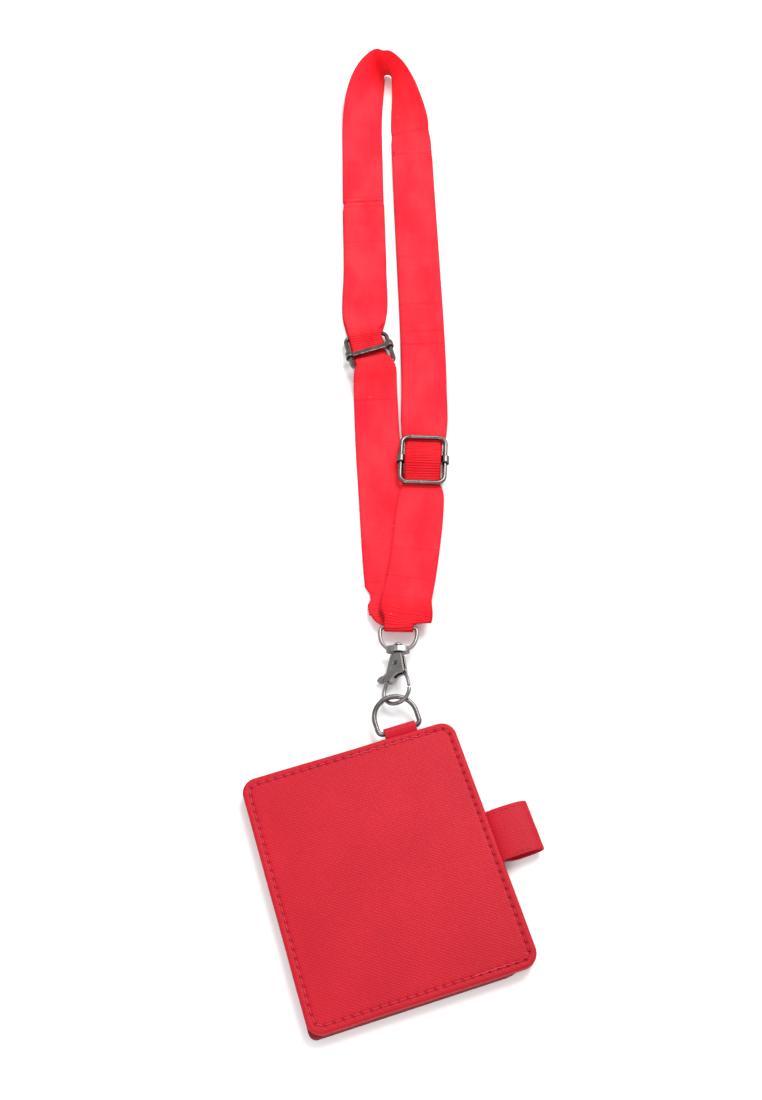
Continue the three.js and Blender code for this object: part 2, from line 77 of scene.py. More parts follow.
# The routes are rows of u, v, z, turn and bank in degrees, width.
NECK_ROUTE = [
    (0.0229, 0.199, 0.00175, 0, 0, 0.025), (0.0222, 0.186, 0.00175, -2, 0, 0.025),
    (0.0214, 0.172, 0.00175, -5, 0, 0.0235), (0.0211, 0.1685, 0.00185, -5, 0, 0.02),
    (0.0206, 0.1625, 0.0042, -5, 0, 0.02), (0.0202, 0.1586, 0.0063, -5, 0, 0.0184),
    (0.02, 0.156, 0.00665, -5, 0, 0.0184), (0.01987, 0.1545, 0.00665, -5, 0, 0.0184),
    (0.01978, 0.1535, 0.0059, -5, 0, 0.0184), (0.01976, 0.15325, 0.005, -5, 0, 0.0184),
    (0.01978, 0.1535, 0.0041, -5, 0, 0.0184), (0.01987, 0.1545, 0.00335, -5, 0, 0.0184),
    (0.02, 0.156, 0.00335, -5, 0, 0.0184), (0.0202, 0.1586, 0.00295, -5, 0, 0.0184),
    (0.0206, 0.163, 0.0015, -5, 0, 0.02), (0.0211, 0.1685, 0.0006, -5, 0, 0.02),
    (0.0219, 0.18, 0.0005, -3, 0, 0.025), (0.0233, 0.21, 0.0005, -1, 0, 0.025),
    (0.024, 0.25, 0.0005, 0, 0, 0.025), (0.0242, 0.3, 0.0005, 0, 0, 0.025),
    (0.0243, 0.35, 0.0005, 0, 0, 0.025), (0.0246, 0.396, 0.0006, 0, 0, 0.025),
    (0.0244, 0.411, 0.0034, -3, 16, 0.025), (0.0228, 0.426, 0.008, -8, 37, 0.025),
    (0.0204, 0.441, 0.011, -16, 56, 0.025), (0.017, 0.454, 0.0124, -40, 70, 0.025),
    (0.0128, 0.4625, 0.0129, -95, 75, 0.025), (0.008, 0.464, 0.0126, -150, 72, 0.025),
    (0.0034, 0.459, 0.011, -176, 57, 0.025), (-0.0007, 0.451, 0.0082, -182, 38, 0.025),
    (-0.0038, 0.439, 0.0044, -182, 18, 0.025), (-0.0056, 0.422, 0.0016, -181, 5, 0.025),
    (-0.0064, 0.385, 0.0006, -180, 0, 0.025), (-0.007, 0.343, 0.0005, -180, 0, 0.025),
    (-0.0072, 0.3, 0.0005, -180, 0, 0.025), (-0.0086, 0.26, 0.0005, -176, 0, 0.025),
    (-0.00865, 0.24493, 0.00055, -170, 0, 0.0192), (-0.0064, 0.232, 0.0006, -170, 0, 0.0192),
    (-0.00552, 0.22703, 0.0015, -170, 0, 0.0192), (-0.00475, 0.22265, 0.0039, -170, 0, 0.0188),
    (-0.00415, 0.21927, 0.0062, -170, 0, 0.0188), (-0.00378, 0.21728, 0.0069, -170, 0, 0.0188),
    (-0.00369, 0.21678, 0.0083, -170, 0, 0.0188), (-0.0038, 0.21738, 0.0097, -170, 0, 0.0188),
    (-0.00407, 0.21888, 0.0103, -170, 0, 0.0188), (-0.00432, 0.22027, 0.0097, -170, 0, 0.0188),
    (-0.00467, 0.22236, 0.0072, -170, 0, 0.0188), (-0.00496, 0.22395, 0.0056, -170, 0, 0.0192),
]
LOWER_ROUTE = [
    (-0.0066, 0.354, 0.00175, 0, 0, 0.025), (-0.0068, 0.33, 0.00175, 0, 0, 0.025),
    (-0.0072, 0.295, 0.00175, 0, 0, 0.025), (-0.0084, 0.26, 0.0019, 4, 0, 0.025),
    (-0.00931, 0.24941, 0.0036, 10, 0, 0.0188), (-0.00873, 0.24522, 0.0046, 10, 0, 0.0188),
    (-0.00826, 0.24235, 0.0035, 10, 0, 0.0188), (-0.00766, 0.23936, 0.0025, 10, 0, 0.0188),
    (-0.0064, 0.232, 0.0024, 10, 0, 0.0188), (-0.00602, 0.22981, 0.0028, 10, 0, 0.0188),
    (-0.00552, 0.22703, 0.0046, 10, 0, 0.0188), (-0.00503, 0.22425, 0.0077, 10, 0, 0.02),
    (-0.00459, 0.22186, 0.0104, 10, 0, 0.02), (-0.00407, 0.21878, 0.0118, 10, 0, 0.02),
    (-0.00351, 0.21509, 0.0102, 9, 0, 0.0232), (-0.0038, 0.21, 0.0046, 5, 0, 0.0242),
    (-0.0039, 0.204, 0.0013, 2, 0, 0.0242), (-0.0039, 0.195, 0.0006, 0, 0, 0.0242),
    (-0.0037, 0.17, 0.0005, 0, 0, 0.0242), (-0.0024, 0.135, 0.0005, 0, 0, 0.025),
    (-0.0015, 0.1, 0.0005, 0, 0, 0.025), (-0.0006, 0.082, 0.0008, -1, 0, 0.025),
    (0.0006, 0.07, 0.0019, -2, 0, 0.025), (0.0019, 0.062, 0.0036, -4, 0, 0.022),
    (0.0026, 0.0578, 0.0045, -4, 0, 0.016), (0.003, 0.0545, 0.0047, -4, 0, 0.0144),
    (0.00291, 0.0532, 0.00523, -4, 0, 0.0144), (0.00287, 0.0527, 0.0065, -4, 0, 0.0144),
    (0.00291, 0.0532, 0.00777, -4, 0, 0.0144), (0.003, 0.0545, 0.0083, -4, 0, 0.0144),
    (0.0037, 0.0578, 0.0082, -4, 0, 0.016), (0.005, 0.062, 0.0075, -4, 0, 0.022),
    (0.0072, 0.07, 0.0053, -5, 0, 0.025), (0.0099, 0.082, 0.003, -6, 0, 0.025),
    (0.0132, 0.1, 0.0019, -6, 0, 0.025), (0.0168, 0.125, 0.0019, -5, 0, 0.025),
    (0.0183, 0.1365, 0.0025, -5, 0, 0.0234), (0.0188, 0.1423, 0.0028, -5, 0, 0.0194),
    (0.0191, 0.1454, 0.0034, -5, 0, 0.0194), (0.0195, 0.1504, 0.0061, -5, 0, 0.0194),
    (0.01975, 0.1531, 0.0076, -5, 0, 0.0194), (0.02, 0.156, 0.008, -5, 0, 0.0194),
    (0.02024, 0.1588, 0.0076, -5, 0, 0.0194), (0.0206, 0.1627, 0.0058, -5, 0, 0.0194),
    (0.02105, 0.1683, 0.00315, -5, 0, 0.0194), (0.0214, 0.1715, 0.003, -5, 0, 0.023),
    (0.0222, 0.186, 0.003, -3, 0, 0.025), (0.023, 0.203, 0.003, -1, 0, 0.025),
    (0.0236, 0.216, 0.0019, 0, 0, 0.025), (0.0242, 0.25, 0.00175, 0, 0, 0.025),
    (0.0244, 0.3, 0.00175, 0, 0, 0.025), (0.0245, 0.35, 0.00175, 0, 0, 0.025),
    (0.0246, 0.376, 0.0019, 0, 0, 0.025), (0.0248, 0.394, 0.0021, 0, 0, 0.025),
]


# ---- small helpers ----
def smooth(low, high, value):
    """0 at low, 1 at high, and a smooth step between them; low may be the larger."""
    t = np.clip((np.asarray(value, float) - low) / (high - low), 0, 1)
    return t * t * (3 - 2 * t)


def new_piece(name, verts, faces, material, body, replaces):
    """A smooth-shaded piece that rides a body and stands for the named CAD nodes."""
    mesh = bpy.data.meshes.new(name)
    mesh.from_pydata([tuple(v) for v in verts], [], faces)
    mesh.validate()
    mesh.update()
    piece = bpy.data.objects.new(name, mesh)
    bpy.context.scene.collection.objects.link(piece)
    mesh.materials.append(material)
    mesh.polygons.foreach_set("use_smooth", [True] * len(mesh.polygons))
    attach(piece, body)
    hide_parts(*replaces)
    return piece


def rounded_rings(count, ring):
    """Faces of a closed skin over count rings of ring points each, with a flat cap at both ends."""
    faces = [tuple(range(ring - 1, -1, -1))]
    for i in range(count - 1):
        a, b = i * ring, (i + 1) * ring
        faces += [(a + k, a + (k + 1) % ring, b + (k + 1) % ring, b + k) for k in range(ring)]
    faces.append(tuple(range((count - 1) * ring, count * ring)))
    return faces


def centripetal(points, steps):
    """A centripetal Catmull-Rom curve through rows of numbers, steps samples to each leg."""
    p = np.asarray(points, float)
    p = np.vstack([2 * p[0] - p[1], p, 2 * p[-1] - p[-2]])
    out = []
    for i in range(1, len(p) - 2):
        gaps = [max(np.linalg.norm(p[i + k, :3] - p[i + k - 1, :3]) ** 0.5, 1e-5) for k in (0, 1, 2)]
        m0 = gaps[1] * ((p[i] - p[i - 1]) / gaps[0] - (p[i + 1] - p[i - 1]) / (gaps[0] + gaps[1])
                        + (p[i + 1] - p[i]) / gaps[1])
        m1 = gaps[1] * ((p[i + 1] - p[i]) / gaps[1] - (p[i + 2] - p[i]) / (gaps[1] + gaps[2])
                        + (p[i + 2] - p[i + 1]) / gaps[2])
        last = i == len(p) - 3
        t = np.linspace(0, 1, steps + 1)[: steps + 1 if last else steps, None]
        out.append((2 * t**3 - 3 * t**2 + 1) * p[i] + (t**3 - 2 * t**2 + t) * m0
                   + (3 * t**2 - 2 * t**3) * p[i + 1] + (t**3 - t**2) * m1)
    return np.vstack(out)


def resample(rows, step):
    """The rows again, about step apart along their first three numbers."""
    along = np.concatenate([[0], np.cumsum(np.linalg.norm(np.diff(rows[:, :3], axis=0), axis=1))])
    at = np.linspace(0, along[-1], max(2, round(along[-1] / step) + 1))
    return np.stack([np.interp(at, along, rows[:, k]) for k in range(rows.shape[1])], axis=1), at


def unit(vectors):
    return vectors / np.maximum(np.linalg.norm(vectors, axis=-1, keepdims=True), 1e-12)


# ---- node materials ----
class Shader:
    """A Principled material and short ways to add nodes to it."""

    def __init__(self, name, roughness, **constants):
        self.material = bpy.data.materials.new(name)
        self.material.use_nodes = True
        self.nodes = self.material.node_tree.nodes
        self.links = self.material.node_tree.links
        self.bsdf = next(n for n in self.nodes if n.type == "BSDF_PRINCIPLED")
        self.bsdf.inputs["Roughness"].default_value = roughness
        for socket, value in constants.items():
            self.bsdf.inputs[socket.replace("_", " ")].default_value = value

    def put(self, socket, value):
        if isinstance(value, bpy.types.NodeSocket):
            self.links.new(value, socket)
        else:
            socket.default_value = value

    def add(self, kind, out=0, settings=None, **inputs):
        n = self.nodes.new(kind)
        for key, value in (settings or {}).items():
            setattr(n, key, value)
        for key, value in inputs.items():
            self.put(n.inputs[key.replace("_", " ")], value)
        return n.outputs[out]

    def math(self, operation, a, b=0.0):
        n = self.nodes.new("ShaderNodeMath")
        n.operation = operation
        self.put(n.inputs[0], a)
        self.put(n.inputs[1], b)
        return n.outputs[0]

    def mix(self, factor, a, b):
        n = self.nodes.new("ShaderNodeMix")
        n.data_type = "RGBA"
        self.put(n.inputs[0], factor)
        self.put(n.inputs[6], a)
        self.put(n.inputs[7], b)
        return n.outputs[2]

    def noise(self, at, scale, detail=3.0):
        return self.add("ShaderNodeTexNoise", Vector=at, Scale=scale, Detail=detail, Roughness=0.55)

    def ramp(self, value, low, high, bottom=0.0, top=1.0):
        return self.add("ShaderNodeMapRange", settings={"interpolation_type": "SMOOTHSTEP"},
                        Value=value, From_Min=low, From_Max=high, To_Min=bottom, To_Max=top)

    def scaled(self, at, size, turn=0.0):
        return self.add("ShaderNodeMapping", Vector=at, Scale=size, Rotation=(0, 0, turn))

    def parts(self, vector):
        """The x, y and z sockets of a vector."""
        n = self.nodes.new("ShaderNodeSeparateXYZ")
        self.links.new(vector, n.inputs[0])
        return n.outputs

    def wave(self, at, pitch, kind="SINE"):
        return self.math(kind, self.math("MULTIPLY", at, 2 * math.pi / pitch))

    def attribute(self, name):
        return self.add("ShaderNodeAttribute", out=2, settings={"attribute_name": name})

    def bump(self, height, distance, strength):
        n = self.nodes.new("ShaderNodeBump")
        n.inputs["Strength"].default_value = strength
        n.inputs["Distance"].default_value = distance
        self.links.new(height, n.inputs["Height"])
        return n.outputs[0]

    def done(self, colour=None, roughness=None, normal=None):
        for socket, value in (("Base Color", colour), ("Roughness", roughness), ("Normal", normal)):
            if value is not None:
                self.put(self.bsdf.inputs[socket], value)
        return self.material


def rgb(r, g, b):
    """A linear colour from 0..255 screen values."""
    linear = [((c / 255 + 0.055) / 1.055) ** 2.4 if c > 10 else c / 255 / 12.92 for c in (r, g, b)]
    return (*linear, 1.0)


def webbing_material():
    """Ribbed webbing. Its UV map holds the distance along and across the strap; the point attributes
    say how much painted shade lies where it is bent round metal and where it has been folded."""
    s = Shader("coral_webbing", 0.82, Sheen_Weight=0.08, Sheen_Roughness=0.45)
    s.bsdf.inputs["Sheen Tint"].default_value = (1.0, 0.45, 0.42, 1.0)
    s.bsdf.inputs["Specular IOR Level"].default_value = 0.12
    at = s.add("ShaderNodeUVMap", settings={"uv_map": "strap"})
    along, across, _ = s.parts(at)
    bent_shade = s.attribute("bent_shade")
    wander = s.noise(s.scaled(at, (900, 260, 1)), 1.0, 2.0)
    shifted = s.math("ADD", along, s.math("MULTIPLY", s.math("SUBTRACT", wander, 0.5), 0.00035))
    # ribs across the strap; every other yarn is half a rib out of step, which makes the grain
    weave = s.math("MULTIPLY", s.wave(shifted, RIB, "COSINE"), s.wave(across, YARN))
    ribs = s.math("MULTIPLY", s.wave(shifted, RIB), 0.7)
    relief = s.math("ADD", ribs, s.math("MULTIPLY", weave, 0.45))
    fibre = s.noise(s.scaled(at, (5200, 9000, 1)), 1.0, 2.0)
    # painted shade in the grooves between the ribs, more of it where the strap is bent round metal
    groove = s.ramp(relief, -1.0, 0.3, 1.0, 0.0)
    broad = s.noise(s.scaled(at, (28, 60, 1)), 1.0, 3.0)
    bright = s.mix(s.ramp(broad, 0.3, 0.7), rgb(244, 30, 48), rgb(252, 50, 62))
    deep = s.mix(fibre, rgb(206, 4, 14), rgb(232, 12, 22))
    groove_shade = s.math("MULTIPLY", groove, s.math("ADD", s.math("MULTIPLY", bent_shade, 0.3), 0.42))
    cloth = s.mix(groove_shade, bright, deep)
    # painted shade where the strap is bent round metal, darkest in the gaps between the cords of the weave
    between = s.math("MULTIPLY", s.ramp(s.wave(shifted, CORD), -1.0, -0.1, 1.0, 0.0), bent_shade)
    cloth = s.mix(s.math("MULTIPLY", bent_shade, 0.42), cloth, rgb(196, 6, 22))
    cloth = s.mix(s.math("MULTIPLY", between, 0.8), cloth, rgb(120, 0, 8))
    # painted shade in old folds and at the steps where the cut ends lie, and the ends' stitch lines
    ragged = s.ramp(s.noise(s.scaled(at, (300, 130, 1)), 1.0, 2.0), 0.3, 0.6, 0.35, 1.0)
    cloth = s.mix(s.math("MULTIPLY", s.attribute("crease_shade"), ragged), cloth, rgb(84, 0, 10))
    # painted shade in the gaps between the loops of the woven edge
    edge = s.ramp(s.math("ABSOLUTE", across), 0.0112, 0.0118)
    selvedge_shade = s.math("MULTIPLY", edge, s.ramp(s.wave(along, CORD), -0.3, 0.4))
    cloth = s.mix(s.math("MULTIPLY", selvedge_shade, 0.6), cloth, rgb(128, 4, 30))
    # a few specks of pale lint
    lint = s.ramp(s.noise(s.scaled(at, (420, 700, 1)), 1.0, 1.0), 0.80, 0.82)
    cloth = s.mix(s.math("MULTIPLY", lint, 0.6), cloth, rgb(255, 176, 172))
    bump = s.bump(s.math("ADD", relief, s.math("MULTIPLY", fibre, 0.5)), 0.00011, 0.85)
    return s.done(cloth, s.ramp(fibre, 0.3, 0.7, 0.74, 0.92), bump)


def leather_material(name, light, dark):
    """Coated cloth with a fine cross grain on both diagonals. It is a little darker towards its +X -Y
    corner, and has painted shade in the stitch holes, which a point attribute marks."""
    s = Shader(name, 0.55)
    s.bsdf.inputs["Specular IOR Level"].default_value = 0.2
    at = s.add("ShaderNodeTexCoord", out=3)
    drift = s.noise(at, 420.0, 2.0)
    bend = s.nodes.new("ShaderNodeVectorMath")
    bend.operation = "SCALE"
    s.put(bend.inputs[0], s.add("ShaderNodeTexNoise", out=1, Vector=at, Scale=300.0, Detail=2.0))
    bend.inputs["Scale"].default_value = 0.0011
    bent = s.nodes.new("ShaderNodeVectorMath")
    bent.operation = "ADD"
    s.put(bent.inputs[0], at)
    s.put(bent.inputs[1], bend.outputs[0])
    bent = bent.outputs[0]
    grain = [s.wave(s.parts(s.scaled(bent, (1, 1, 1), turn))[0], pitch)
             for turn, pitch in ((0.62, 0.00105), (-0.95, 0.0012))]
    cross = s.math("MULTIPLY", s.math("ADD", *grain), 0.5)
    pores = s.add("ShaderNodeTexVoronoi", Vector=bent, Scale=1150.0)
    fine = s.noise(at, 2600.0, 3.0)
    broad = s.noise(at, 34.0, 3.0)
    height = s.math("ADD", s.math("MULTIPLY", cross, 0.55),
                    s.math("ADD", s.math("MULTIPLY", pores, 0.55), s.math("MULTIPLY", fine, 0.5)))
    tone = s.mix(broad, dark, light)
    # painted shade in the low parts of the grain and its pores
    tone = s.mix(s.ramp(height, -0.35, 0.75, 0.42, 0.0), tone, dark)
    x, y, _ = s.parts(at)
    ragged = s.math("MULTIPLY", s.math("SUBTRACT", drift, 0.5), 0.02)
    corner = s.ramp(s.math("ADD", s.math("SUBTRACT", x, y), ragged), 0.0, 0.13)
    tone = s.mix(s.math("MULTIPLY", corner, 0.8), tone, dark)
    # painted shade in the stitch holes
    tone = s.mix(s.attribute("hole_shade"), tone, rgb(70, 0, 10))
    return s.done(tone, s.ramp(fine, 0.3, 0.75, 0.42, 0.66), s.bump(height, 0.00012, 0.8))


def metal_material(name, light, dark, rough=(0.2, 0.38)):
    """Plated metal with fine scratches and paler worn spots."""
    s = Shader(name, 0.3, Metallic=1.0)
    at = s.add("ShaderNodeTexCoord", out=3)
    broad = s.noise(at, 190.0, 4.0)
    fine = s.noise(at, 2400.0, 3.0)
    scratch = s.noise(s.scaled(at, (900, 5200, 5200), 0.4), 1.0, 2.0)
    tone = s.mix(broad, dark, light)
    worn = s.ramp(s.noise(at, 620.0, 3.0), 0.6, 0.72)
    tone = s.mix(s.math("MULTIPLY", worn, 0.35), tone, rgb(196, 190, 186))
    height = s.math("ADD", s.math("MULTIPLY", fine, 0.5), s.math("MULTIPLY", scratch, 0.6))
    return s.done(tone, s.ramp(broad, 0.3, 0.7, rough[0], rough[1]), s.bump(height, 0.00002, 0.5))


def thread_material(name, light, dark):
    """Twisted sewing thread, with painted shade towards the holder's +X side."""
    s = Shader(name, 0.6)
    s.bsdf.inputs["Specular IOR Level"].default_value = 0.25
    at = s.add("ShaderNodeTexCoord", out=3)
    ply = s.add("ShaderNodeTexWave", settings={"bands_direction": "DIAGONAL"}, Vector=at, Scale=900.0,
                Distortion=1.5, Detail=1.0)
    fuzz = s.noise(at, 5200.0, 2.0)
    # painted shade towards the holder's +X side
    light = s.mix(s.ramp(s.parts(at)[0], 0.03, 0.047, 0.0, 0.7), light, dark)
    tone = s.mix(s.math("MULTIPLY", ply, fuzz), dark, light)
    return s.done(tone, s.ramp(fuzz, 0.3, 0.7, 0.45, 0.75), s.bump(ply, 0.00008, 0.7))


def cloth_material(name, light, dark, pitch=0.0007):
    """A plain weave, or any material with an even small grain."""
    s = Shader(name, 0.85)
    at = s.add("ShaderNodeTexCoord", out=3)
    x, y, _ = s.parts(at)
    weave = s.math("MULTIPLY", s.wave(x, pitch), s.wave(y, pitch))
    height = s.math("ADD", weave, s.noise(at, 2500.0, 2.0))
    return s.done(s.mix(s.ramp(height, -0.6, 1.2), dark, light), None, s.bump(height, 0.00008, 0.8))


def clear_material():
    """Clear film, a little hazy and scuffed."""
    s = Shader("clear_sheet", 0.12, Alpha=0.32)
    s.bsdf.inputs["Base Color"].default_value = rgb(238, 244, 246)
    at = s.add("ShaderNodeTexCoord", out=3)
    haze = s.noise(at, 90.0, 3.0)
    scuff = s.noise(s.scaled(at, (240, 2200, 240), 0.7), 1.0, 2.0)
    return s.done(None, s.ramp(scuff, 0.45, 0.75, 0.06, 0.3), s.bump(haze, 0.0003, 0.25))


WEBBING = webbing_material()
LEATHER = leather_material("crimson_leatherette", rgb(190, 16, 40), rgb(160, 5, 24))
# A darker copy of the leatherette: painted shade for the front cover, which lies face down against the
# floor.
LEATHER_SHADED = leather_material("shaded_leatherette", rgb(150, 8, 30), rgb(92, 3, 14))
NICKEL = metal_material("dark_nickel", rgb(120, 115, 112), rgb(84, 80, 79))
NICKEL_CAST = metal_material("cast_nickel", rgb(150, 146, 144), rgb(110, 106, 105), (0.24, 0.4))
STEEL = metal_material("spring_steel", rgb(190, 188, 184), rgb(150, 148, 146))
THREAD = thread_material("crimson_thread", rgb(238, 92, 112), rgb(176, 22, 44))
LINING = cloth_material("lining_cloth", rgb(150, 26, 40), rgb(90, 10, 20))
FOAM = cloth_material("foam", rgb(236, 230, 216), rgb(206, 198, 182), 0.0013)
BOARD = cloth_material("grey_board", rgb(150, 142, 130), rgb(112, 104, 94), 0.0021)
CLEAR = clear_material()


# ---- straps ----
# The third number also sets how much painted shade the webbing gets there.
BENT_ROUND_METAL = (               # u, v and how strongly the ribs stand out there
    (0.020, 0.156, 1.0), (-0.0064, 0.234, 0.9), (0.003, 0.0545, 0.85),
)
WEB_COLUMNS = 15                  # points across each face of the webbing


def ribbon(name, route, edges, creases):
    """A woven strap with ribs in its faces and a serrated edge. edges(along, u, v, half) gives what
    is added to its left and right half widths, and how far those sides lean along the strap.
    creases are rows of u, v, darkness and length along the strap of its painted fold shade and stitch
    lines."""
    rows, along = resample(centripetal(route, 12), RIB / 2)
    turn, bank, width = np.radians(rows[:, 3]), np.radians(rows[:, 4]), rows[:, 5]
    centre = rows[:, :3].copy()
    centre[:, 2] = np.maximum(centre[:, 2], WEB / 2 + np.abs(np.sin(bank)) * width / 2)
    tangent = unit(np.gradient(centre, axis=0))
    across = np.stack([np.cos(turn) * np.cos(bank), np.sin(turn) * np.cos(bank), np.sin(bank)], axis=1)
    normal = unit(np.cross(tangent, across))
    side = unit(np.cross(normal, tangent))
    add_left, add_right, lean_left, lean_right = edges(along, centre[:, 0], centre[:, 1], width / 2)
    left, right = width / 2 + add_left, width / 2 + add_right
    near = np.zeros(len(rows))
    for u, v, most in BENT_ROUND_METAL:
        off = np.hypot(centre[:, 0] - u, centre[:, 1] - v)
        near = np.maximum(near, most * (1 - smooth(0.007, 0.023, off)))
    dark = np.zeros(len(rows))
    for u, v, strength, long in creases:
        off = np.where(np.abs(centre[:, 0] - u) < 0.012, (centre[:, 1] - v) / long, 9)
        dark = np.maximum(dark, strength * np.exp(-off**2))

    count, ring = len(rows), 2 * WEB_COLUMNS
    ripple = (0.035 + 0.06 * near) * MM * np.where(np.arange(count) % 2 == 0, 1.0, -1.0)
    serrate = 0.2 * MM * np.sin(2 * math.pi * along / CORD)
    thin = WEB / 2 - 0.08 * MM
    stations = np.concatenate([np.linspace(-1, 1, WEB_COLUMNS), np.linspace(1, -1, WEB_COLUMNS)])
    faces_up = np.concatenate([np.ones(WEB_COLUMNS), -np.ones(WEB_COLUMNS)])
    verts, uvs = [], []
    for i in range(count):
        x = np.where(stations < 0, stations * left[i], stations * right[i])
        shrink = 1 - 0.45 * smooth(0.955, 1.0, np.abs(stations))
        puff = (thin + ripple[i]) * faces_up * shrink
        wave = 0.12 * MM * math.sin(along[i] * 47 + 1.3) * np.sin(stations * 2.2 + along[i] * 21)
        lift = wave * (1 - near[i])
        x = x + serrate[i] * np.sign(stations) * smooth(0.93, 1.0, np.abs(stations))
        lean = np.where(x < 0, -x * lean_left[i], x * lean_right[i])
        verts.append(centre[i] + x[:, None] * side[i] + lean[:, None] * tangent[i]
                     + (puff + lift)[:, None] * normal[i])
        uvs.append(np.stack([np.full(ring, along[i]), stations * 0.0125], axis=1))
    verts = np.concatenate(verts)
    verts[:, 2] = np.maximum(verts[:, 2], 0.02 * MM)
    verts = np.array([STRAP @ Vector(v) for v in verts])
    node = name.replace("strap", "webbing")
    piece = new_piece(name, verts, rounded_rings(count, ring), WEBBING, "lanyard", [node])
    uv = piece.data.uv_layers.new(name="strap")
    loops = np.zeros(len(piece.data.loops), int)
    piece.data.loops.foreach_get("vertex_index", loops)
    uv.data.foreach_set("uv", np.concatenate(uvs)[loops].ravel())
    for label, values in (("bent_shade", near), ("crease_shade", dark)):
        attribute = piece.data.attributes.new(label, "FLOAT", "POINT")
        attribute.data.foreach_set("value", np.repeat(values, ring))
    path = [tuple(STRAP @ Vector(c)) for c in centre[::8]]
    return piece, path, float(along[-1])


def lower_edges(along, u, v, half):
    """The fold keeps its full width above the loop's bar: its under layer reaches out to the left and
    its upper layer to the right. Both cut ends are drawn in a little by their stitches."""
    top = along > along[-1] * 0.45
    fold = np.where(top, smooth(0.0557, 0.0586, v), smooth(0.0549, 0.0562, v))
    pinch = smooth(0.0715, 0.0755, v) * (1 - smooth(0.0775, 0.083, v))
    drawn = 0.9 * MM * (1 - smooth(0.004, 0.0065, np.minimum(along, along[-1] - along)))
    under = fold * np.maximum((12.7 - 0.9 * smooth(0.0575, 0.0539, v)) * MM - half, 0) * (v < 0.070)
    over = fold * np.maximum((15.6 - 3.1 * smooth(0.059, 0.075, v)) * MM - half, 0) * (v < 0.075)
    left = np.where(top, 0.0, under - 2.1 * MM * pinch) - drawn
    right = np.where(top, over, 0.0) - 0.4 * drawn
    lean = smooth(0.080, 0.060, v)
    return left, right, np.where(top, 0.0, 0.12 * lean), np.where(top, 0.08 * lean, 0.0)


def neck_edges(along, u, v, half):
    """Small steps in the sides where the strap has been folded before."""
    left_side = u < 0.005
    notch = np.exp(-(((v - 0.349) / 0.0022) ** 2)) * left_side
    dip = np.exp(-(((v - 0.408) / 0.004) ** 2)) * ~left_side
    return -0.5 * MM * dip, -1.3 * MM * notch - 0.8 * MM * dip, 0 * u, 0 * u


# Dark lines across the straps, painted shade in old folds and at the steps where the cut ends lie, and the
# ends' stitch lines: u, v, darkness, length along the strap.
LOWER_CREASES = (
    (-0.0066, 0.3515, 0.8, 0.0007), (-0.0066, 0.3475, 0.45, 0.0006), (-0.0068, 0.334, 0.25, 0.0008),
    (-0.0039, 0.2005, 0.5, 0.0006), (0.0243, 0.268, 0.35, 0.0008), (0.0242, 0.2475, 0.35, 0.0007),
    (0.0242, 0.238, 0.5, 0.0007), (0.0246, 0.391, 0.5, 0.0006), (0.0245, 0.342, 0.2, 0.0008),
    (0.0244, 0.305, 0.22, 0.0007), (-0.0072, 0.318, 0.25, 0.0007), (0.0075, 0.0715, 0.25, 0.0006),
    (0.0102, 0.0845, 0.3, 0.0006), (0.0135, 0.102, 0.2, 0.0008),
)
NECK_CREASES = (
    (0.0248, 0.4095, 0.4, 0.001), (-0.0066, 0.356, 0.35, 0.0008), (-0.0064, 0.385, 0.12, 0.002),
)
neck, neck_path, neck_length = ribbon("neck_strap", NECK_ROUTE, neck_edges, NECK_CREASES)
lower, lower_path, lower_length = ribbon("lower_strap", LOWER_ROUTE, lower_edges, LOWER_CREASES)


# ---- mesh builders ----
def tube(points, radius, sides=20, closed=False, into=None):
    """Verts and faces of a round wire through points, with domed ends when it is open."""
    p = np.array([tuple(q) for q in points], float)
    t = unit(np.roll(p, -1, 0) - np.roll(p, 1, 0)) if closed else unit(np.gradient(p, axis=0))
    n = unit(np.cross(t[0], [0.13, 0.21, 0.97] if abs(t[0][2]) < 0.9 else [1, 0, 0]))
    frames = []
    for k in range(len(p)):
        n = unit(n - t[k] * (n @ t[k]))
        frames.append((n, np.cross(t[k], n)))
    radii = np.full(len(p), radius) if np.isscalar(radius) else np.asarray(radius, float)
    rings = [(p[k], frames[k], radii[k]) for k in range(len(p))]
    if not closed:
        cap = [(math.sin(a), math.cos(a)) for a in np.radians((25, 50, 72, 88))]
        head = [(p[0] - t[0] * radii[0] * 0.5 * x, frames[0], radii[0] * c) for x, c in reversed(cap)]
        tail = [(p[-1] + t[-1] * radii[-1] * 0.5 * x, frames[-1], radii[-1] * c) for x, c in cap]
        rings = head + rings + tail
    angle = np.linspace(0, 2 * math.pi, sides, endpoint=False)
    verts = [c + r * (math.cos(a) * f[0] + math.sin(a) * f[1]) for c, f, r in rings for a in angle]
    faces = []
    count = len(rings)
    for i in range(count if closed else count - 1):
        a, b = i * sides, ((i + 1) % count) * sides
        faces += [(a + k, a + (k + 1) % sides, b + (k + 1) % sides, b + k) for k in range(sides)]
    if not closed:
        faces += [tuple(range(sides - 1, -1, -1)), tuple(range((count - 1) * sides, count * sides))]
    if into is not None:
        base = len(into[0])
        into[0].extend(verts)
        into[1].extend(tuple(i + base for i in f) for f in faces)
    return verts, faces


def arc(cx, cy, radius, start, stop, count):
    return [(cx + radius * math.cos(a), cy + radius * math.sin(a), 0.0)
            for a in np.radians(np.linspace(start, stop, count))]


def along_curve(points, step):
    return resample(centripetal(points, 8), step)[0]


def placed(points, matrix):
    return [tuple(matrix @ Vector(p)) for p in points]


